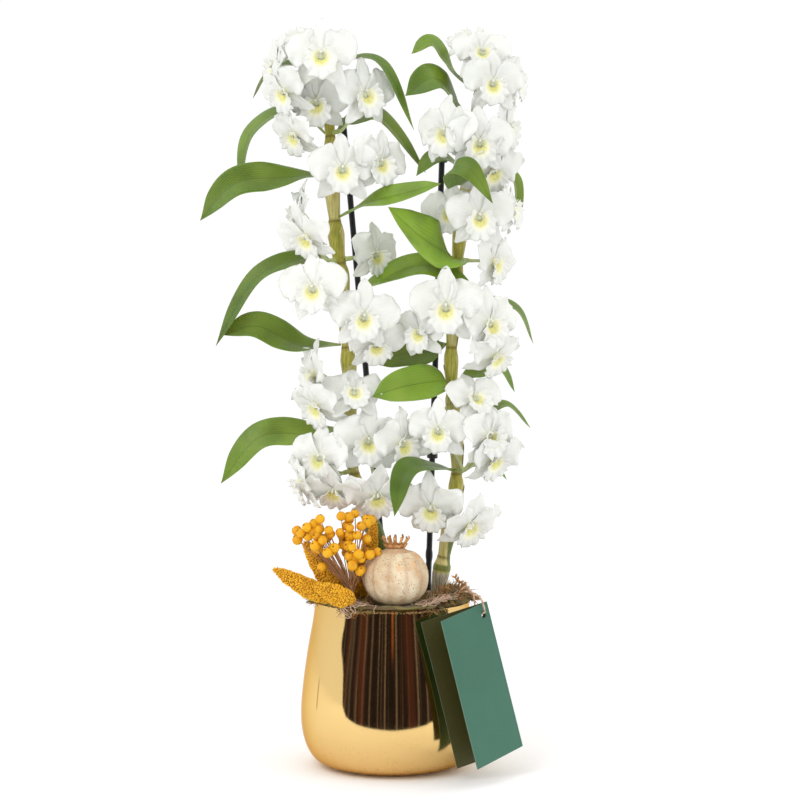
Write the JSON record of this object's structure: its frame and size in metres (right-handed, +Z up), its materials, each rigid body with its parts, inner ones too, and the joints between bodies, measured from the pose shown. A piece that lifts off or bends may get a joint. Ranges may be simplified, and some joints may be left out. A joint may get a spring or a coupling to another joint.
{
  "type": "dendrobium orchid in a pot",
  "caption": "White dendrobium orchid with two flowering canes in a round gold metal pot, dressed with moss, a poppy head, yellow berries and spikes, and a green hang tag",
  "frame": {"origin": "centre of the flat underside of the pot, on the surface that it stands on", "axes": "+X to the right as seen from the front, +Y to the back, away from the side with the poppy head and the tag, +Z up"},
  "size_m": [0.2755, 0.1679, 0.6166],
  "materials": {
    "gold_metal": "polished pale gold sheet metal, mirror-like, with a fine speckle near the foot",
    "peat": "coarse dark bark and peat, matt",
    "moss": "dry brown-green moss, matt and fibrous",
    "cane": "yellow-green stem with pale papery sheaths, satin",
    "leaf": "smooth green leaf with a sunken midrib, satin",
    "petal": "soft white petals with a yellow-green throat, matt and a little translucent",
    "stake_plastic": "blue-black plastic rod",
    "clip_plastic": "black plastic",
    "dried_head": "cream dried seed head, speckled, with an orange blush",
    "berry": "orange-yellow berry, waxy",
    "dyed_grain": "dyed yellow dried spikes, grainy and matt",
    "card": "matt green card, its inner side dark olive",
    "twine": "beige-pink twisted twine, hairy"
  },
  "bodies": {
    "root": {"pot": "gold_metal", "substrate": "peat", "moss": "moss", "cane_left": "cane", "cane_right": "cane", "stake_left": "stake_plastic", "stake_right": "stake_plastic", "ring_clip_1": "clip_plastic", "ring_clip_2": "clip_plastic", "wire_clip": "clip_plastic", "leaf_01": "leaf", "leaf_02": "leaf", "leaf_03": "leaf", "leaf_04": "leaf", "leaf_05": "leaf", "leaf_06": "leaf", "leaf_07": "leaf", "leaf_08": "leaf", "leaf_09": "leaf", "leaf_10": "leaf", "leaf_11": "leaf", "leaf_12": "leaf", "leaf_13": "leaf", "leaf_14": "leaf", "leaf_15": "leaf", "leaf_16": "leaf", "leaf_17": "leaf", "leaf_18": "leaf", "leaf_19": "leaf", "leaf_20": "leaf", "leaf_21": "leaf", "leaf_22": "leaf", "leaf_23": "leaf", "bloom_spray_01": "petal", "bloom_spray_02": "petal", "bloom_spray_03": "petal", "bloom_spray_04": "petal", "bloom_spray_05": "petal", "bloom_spray_06": "petal", "bloom_spray_07": "petal", "bloom_spray_08": "petal", "bloom_spray_09": "petal", "bloom_spray_10": "petal", "bloom_spray_11": "petal", "bloom_spray_12": "petal", "bloom_spray_13": "petal", "bloom_spray_14": "petal", "bloom_spray_15": "petal", "bloom_spray_16": "petal", "bloom_spray_17": "petal", "poppy_head": "dried_head", "berry_bunch": "berry", "yellow_spike_1": "dyed_grain", "yellow_spike_2": "dyed_grain", "yellow_spike_3": "dyed_grain", "yellow_spike_4": "dyed_grain", "hang_tag": "card", "twine": "twine"}
  },
  "joints": []
}
